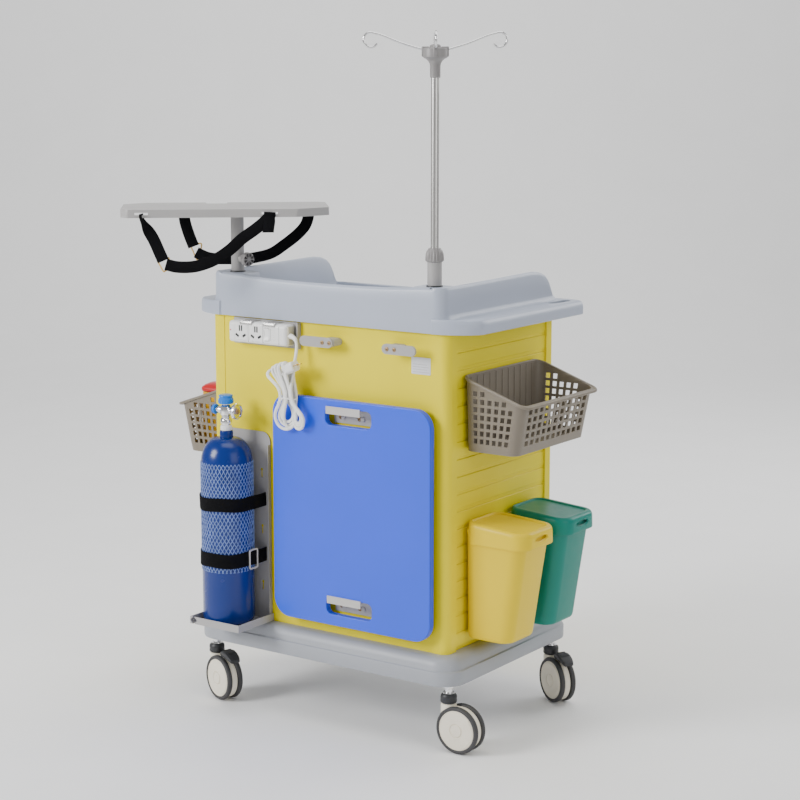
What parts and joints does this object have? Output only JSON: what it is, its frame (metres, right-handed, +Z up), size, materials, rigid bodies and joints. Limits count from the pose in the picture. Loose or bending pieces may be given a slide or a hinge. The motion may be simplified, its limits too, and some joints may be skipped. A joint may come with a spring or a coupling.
{
  "type": "hospital emergency trolley",
  "caption": "Wheeled ward trolley: drawers, worktop with lip, swivelling device shelf, drip pole, gas cylinder holder, board, baskets and lidded bins.",
  "frame": {"origin": "on the floor, under the middle of the cabinet", "axes": "+Z up. -Y is the rear face with the compression board, which is the side pictured. +Y is the drawer side. +X is the side with the two bins."},
  "size_m": [0.9477, 0.6581, 1.4617],
  "materials": {
    "body_yellow": "satin powder coat",
    "tray_grey": "fine-grained moulded ABS",
    "steel": "grey powder coat",
    "bright_steel": "brushed",
    "chrome": "polished",
    "basket_grey": "moulded",
    "bin_yellow": "moulded",
    "bin_green": "moulded",
    "board_blue": "moulded sheet",
    "bottle_blue": "gloss paint",
    "cap_blue": "moulded",
    "net_blue": "soft extruded net",
    "webbing_black": "woven nylon webbing",
    "white_plastic": "moulded",
    "cord_white": "matt PVC",
    "caster_cream": "moulded nylon",
    "tyre_grey": "ribbed polyurethane",
    "black_plastic": "moulded",
    "sharps_yellow": "moulded",
    "sharps_red": "moulded",
    "pole_grey": "moulded"
  },
  "bodies": {
    "cart": {"base_deck": "tray_grey", "chassis_frame": "bright_steel", "corner_columns": "body_yellow", "rear_panel": "body_yellow", "side_slats_right": "body_yellow", "side_slats_left": "body_yellow", "top_tray": "tray_grey", "drawer_runners": "bright_steel", "front_rail": "body_yellow", "caster_stems": "black_plastic", "cpr_brackets": "steel", "cord_cleats": "steel", "power_strip": "white_plastic", "power_bracket": "steel", "power_cord": "cord_white", "power_cord_hank": "cord_white", "power_plug": "cord_white", "oxygen_bracket": "steel", "oxygen_cylinder": "bottle_blue", "oxygen_net": "net_blue", "oxygen_valve": "chrome", "oxygen_valve_caps": "cap_blue", "oxygen_straps": "webbing_black", "shelf_spigot": "steel", "iv_socket": "pole_grey", "basket_right": "basket_grey", "basket_left": "basket_grey", "sharps_box": "sharps_yellow", "bin_yellow": "bin_yellow", "bin_green": "bin_green", "hook_plates": "bright_steel"},
    "lock": {"lock_barrel": "chrome"},
    "drawer_1": {"drawer_1": "body_yellow"},
    "drawer_2": {"drawer_2": "body_yellow"},
    "drawer_3": {"drawer_3": "body_yellow"},
    "drawer_4": {"drawer_4": "body_yellow"},
    "drawer_5": {"drawer_5": "body_yellow"},
    "caster_rr": {"caster_fork_rr": "caster_cream"},
    "wheels_rr": {"caster_wheels_rr": "caster_cream"},
    "caster_rl": {"caster_fork_rl": "caster_cream"},
    "wheels_rl": {"caster_wheels_rl": "caster_cream"},
    "brake_rl": {"brake_pedal_rl": "black_plastic"},
    "caster_fr": {"caster_fork_fr": "caster_cream"},
    "wheels_fr": {"caster_wheels_fr": "caster_cream"},
    "brake_fr": {"brake_pedal_fr": "black_plastic"},
    "caster_fl": {"caster_fork_fl": "caster_cream"},
    "wheels_fl": {"caster_wheels_fl": "caster_cream"},
    "board": {"cpr_board": "board_blue"},
    "switch": {"power_switch": "white_plastic"},
    "oxygen_knob": {"oxygen_valve_knob": "chrome"},
    "shelf": {"shelf_post": "steel", "monitor_shelf": "steel", "shelf_straps": "webbing_black"},
    "shelf_knob": {"shelf_post_knob": "steel"},
    "iv_nut": {"iv_lock_nut": "pole_grey"},
    "iv": {"iv_pole": "bright_steel", "iv_head": "pole_grey"},
    "sharps_cover": {"sharps_lid": "sharps_red"},
    "bin_yellow_cover": {"bin_yellow_lid": "bin_yellow"},
    "bin_green_cover": {"bin_green_lid": "bin_green"}
  },
  "joints": [
    {"name": "lock_turn", "type": "hinge", "parent": "cart", "child": "lock", "pos_m": [0, 0.2105, 0.847], "axis": [0, 1, 0], "range_deg": [0, 90]},
    {"name": "drawer_1_slide", "type": "slide", "parent": "cart", "child": "drawer_1", "axis": [0, 1, 0], "range_m": [0, 0.3]},
    {"name": "drawer_2_slide", "type": "slide", "parent": "cart", "child": "drawer_2", "axis": [0, 1, 0], "range_m": [0, 0.3]},
    {"name": "drawer_3_slide", "type": "slide", "parent": "cart", "child": "drawer_3", "axis": [0, 1, 0], "range_m": [0, 0.3]},
    {"name": "drawer_4_slide", "type": "slide", "parent": "cart", "child": "drawer_4", "axis": [0, 1, 0], "range_m": [0, 0.3]},
    {"name": "drawer_5_slide", "type": "slide", "parent": "cart", "child": "drawer_5", "axis": [0, 1, 0], "range_m": [0, 0.3]},
    {"name": "caster_swivel_rr", "type": "hinge", "parent": "cart", "child": "caster_rr", "pos_m": [0.311, -0.207, 0.1], "axis": [0, 0, 1], "continuous": true},
    {"name": "wheel_spin_rr", "type": "hinge", "parent": "caster_rr", "child": "wheels_rr", "pos_m": [0.341, -0.207, 0.05], "axis": [0, 1, 0], "continuous": true},
    {"name": "caster_swivel_rl", "type": "hinge", "parent": "cart", "child": "caster_rl", "pos_m": [-0.311, -0.207, 0.1], "axis": [0, 0, 1], "continuous": true},
    {"name": "wheel_spin_rl", "type": "hinge", "parent": "caster_rl", "child": "wheels_rl", "pos_m": [-0.28263, -0.21677, 0.05], "axis": [0.3256, 0.9455, 0], "continuous": true},
    {"name": "brake_rl_press", "type": "hinge", "parent": "caster_rl", "child": "brake_rl", "pos_m": [-0.2694, -0.22132, 0.1045], "axis": [0.3256, 0.9455, 0], "range_deg": [0, 10]},
    {"name": "caster_swivel_fr", "type": "hinge", "parent": "cart", "child": "caster_fr", "pos_m": [0.311, 0.207, 0.1], "axis": [0, 0, 1], "continuous": true},
    {"name": "wheel_spin_fr", "type": "hinge", "parent": "caster_fr", "child": "wheels_fr", "pos_m": [0.33724, 0.19246, 0.05], "axis": [0.4848, 0.8746, 0], "continuous": true},
    {"name": "brake_fr_press", "type": "hinge", "parent": "caster_fr", "child": "brake_fr", "pos_m": [0.34948, 0.18567, 0.1045], "axis": [0.4848, 0.8746, 0], "range_deg": [0, 10]},
    {"name": "caster_swivel_fl", "type": "hinge", "parent": "cart", "child": "caster_fl", "pos_m": [-0.311, 0.207, 0.1], "axis": [0, 0, 1], "continuous": true},
    {"name": "wheel_spin_fl", "type": "hinge", "parent": "caster_fl", "child": "wheels_fl", "pos_m": [-0.28359, 0.1948, 0.05], "axis": [0.4067, 0.9135, 0], "continuous": true},
    {"name": "board_lift", "type": "slide", "parent": "cart", "child": "board", "axis": [0, 0, 1], "range_m": [0, 0.018]},
    {"name": "switch_rock", "type": "hinge", "parent": "cart", "child": "switch", "pos_m": [-0.1325, -0.2385, 0.835], "axis": [1, 0, 0], "range_deg": [-7, 7]},
    {"name": "oxygen_valve_turn", "type": "hinge", "parent": "cart", "child": "oxygen_knob", "pos_m": [-0.197, -0.2705, 0.668], "axis": [1, 0, 0], "range_deg": [0, 360]},
    {"name": "shelf_turn", "type": "hinge", "parent": "cart", "child": "shelf", "pos_m": [-0.256, -0.182, 1], "axis": [0, 0, 1], "range_deg": [-120, 120]},
    {"name": "shelf_knob_turn", "type": "hinge", "parent": "shelf", "child": "shelf_knob", "pos_m": [-0.22207, -0.19059, 0.985], "axis": [0.9694, -0.2453, 0], "range_deg": [0, 180]},
    {"name": "iv_nut_turn", "type": "hinge", "parent": "cart", "child": "iv_nut", "pos_m": [0.256, -0.182, 1.02], "axis": [0, 0, 1], "range_deg": [0, 180]},
    {"name": "iv_pole_slide", "type": "slide", "parent": "cart", "child": "iv", "axis": [0, 0, 1], "range_m": [0, 0.33]},
    {"name": "sharps_lid_hinge", "type": "hinge", "parent": "cart", "child": "sharps_cover", "pos_m": [-0.377, -0.011, 0.671], "axis": [-1, 0, 0], "range_deg": [0, 100]},
    {"name": "bin_yellow_lid_hinge", "type": "hinge", "parent": "cart", "child": "bin_yellow_cover", "pos_m": [0.312, 0, 0.47], "axis": [0, -1, 0], "range_deg": [0, 60]},
    {"name": "bin_green_lid_hinge", "type": "hinge", "parent": "cart", "child": "bin_green_cover", "pos_m": [0.312, 0, 0.47], "axis": [0, -1, 0], "range_deg": [0, 60]}
  ]
}
